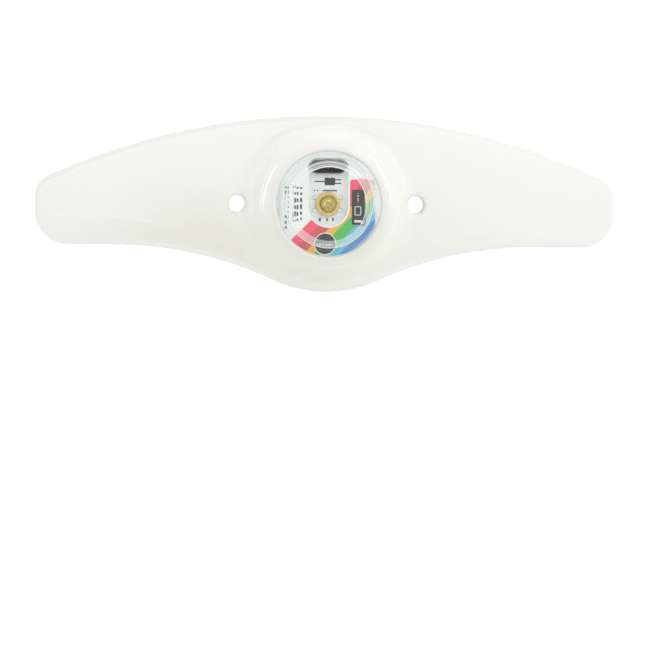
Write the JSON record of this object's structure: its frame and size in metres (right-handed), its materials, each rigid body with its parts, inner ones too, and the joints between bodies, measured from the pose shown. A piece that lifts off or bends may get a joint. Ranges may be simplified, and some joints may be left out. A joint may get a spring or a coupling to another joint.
{
  "type": "spoke wheel light",
  "caption": "Soft translucent leaf-shaped blade for bicycle spokes with a rechargeable light module, clear press button and tie holes in its hub.",
  "frame": {"origin": "on the hub axis, in the plane of the flat pad on the back of the hub", "axes": "+X along the blade to the right seen from the front, +Y across the blade towards the long convex edge, +Z out of the front face with the clear button"},
  "size_m": [0.148, 0.0446, 0.0141],
  "materials": {
    "blade": "frosted translucent silicone",
    "clear": "clear, polished",
    "shell": "white moulded",
    "label": "printed film",
    "board": "white solder mask",
    "steel": "plated steel",
    "brass": "polished",
    "tin": "tinned",
    "black": "moulded",
    "lamp": "white moulded",
    "lens": "phosphor resin",
    "foam": "closed-cell foam",
    "chip_cap": "ceramic"
  },
  "bodies": {
    "blade": {"blade": "blade", "window_ring": "clear", "front_shell": "shell", "rear_shell": "shell", "face_label": "label", "circuit_board": "board", "usb_shell": "steel", "usb_tongue": "black", "usb_contacts": "brass", "switch_base": "black", "switch_cover": "brass", "switch_dome": "steel", "switch_terminals": "tin", "led_left": "lamp", "led_right": "lamp", "led_left_lens": "lens", "led_right_lens": "lens", "control_chip": "black", "control_chip_leads": "tin", "charge_chip": "black", "charge_chip_leads": "tin", "resistor_1": "black", "resistor_2": "black", "resistor_3": "black", "resistor_4": "black", "capacitor_1": "chip_cap", "capacitor_2": "chip_cap", "capacitor_3": "chip_cap", "battery_can": "steel", "battery_cap": "steel", "battery_gasket": "black", "battery_tab_positive": "tin", "battery_tab_negative": "tin", "battery_pad": "foam"},
    "press_button": {"press_button": "clear"},
    "switch_plunger": {"switch_plunger": "brass"}
  },
  "joints": [
    {"name": "button_press", "type": "slide", "parent": "blade", "child": "press_button", "axis": [0, 0, -1], "range_m": [0, 0.0003], "stiffness_N_per_m": 800},
    {"name": "switch_press", "type": "slide", "parent": "blade", "child": "switch_plunger", "axis": [0, 0, -1], "range_m": [0, 0.0003], "stiffness_N_per_m": 300, "deforming": ["switch_dome"]}
  ],
  "couplings": [
    {"joint": "switch_press", "follows": "button_press", "ratio": 1}
  ]
}
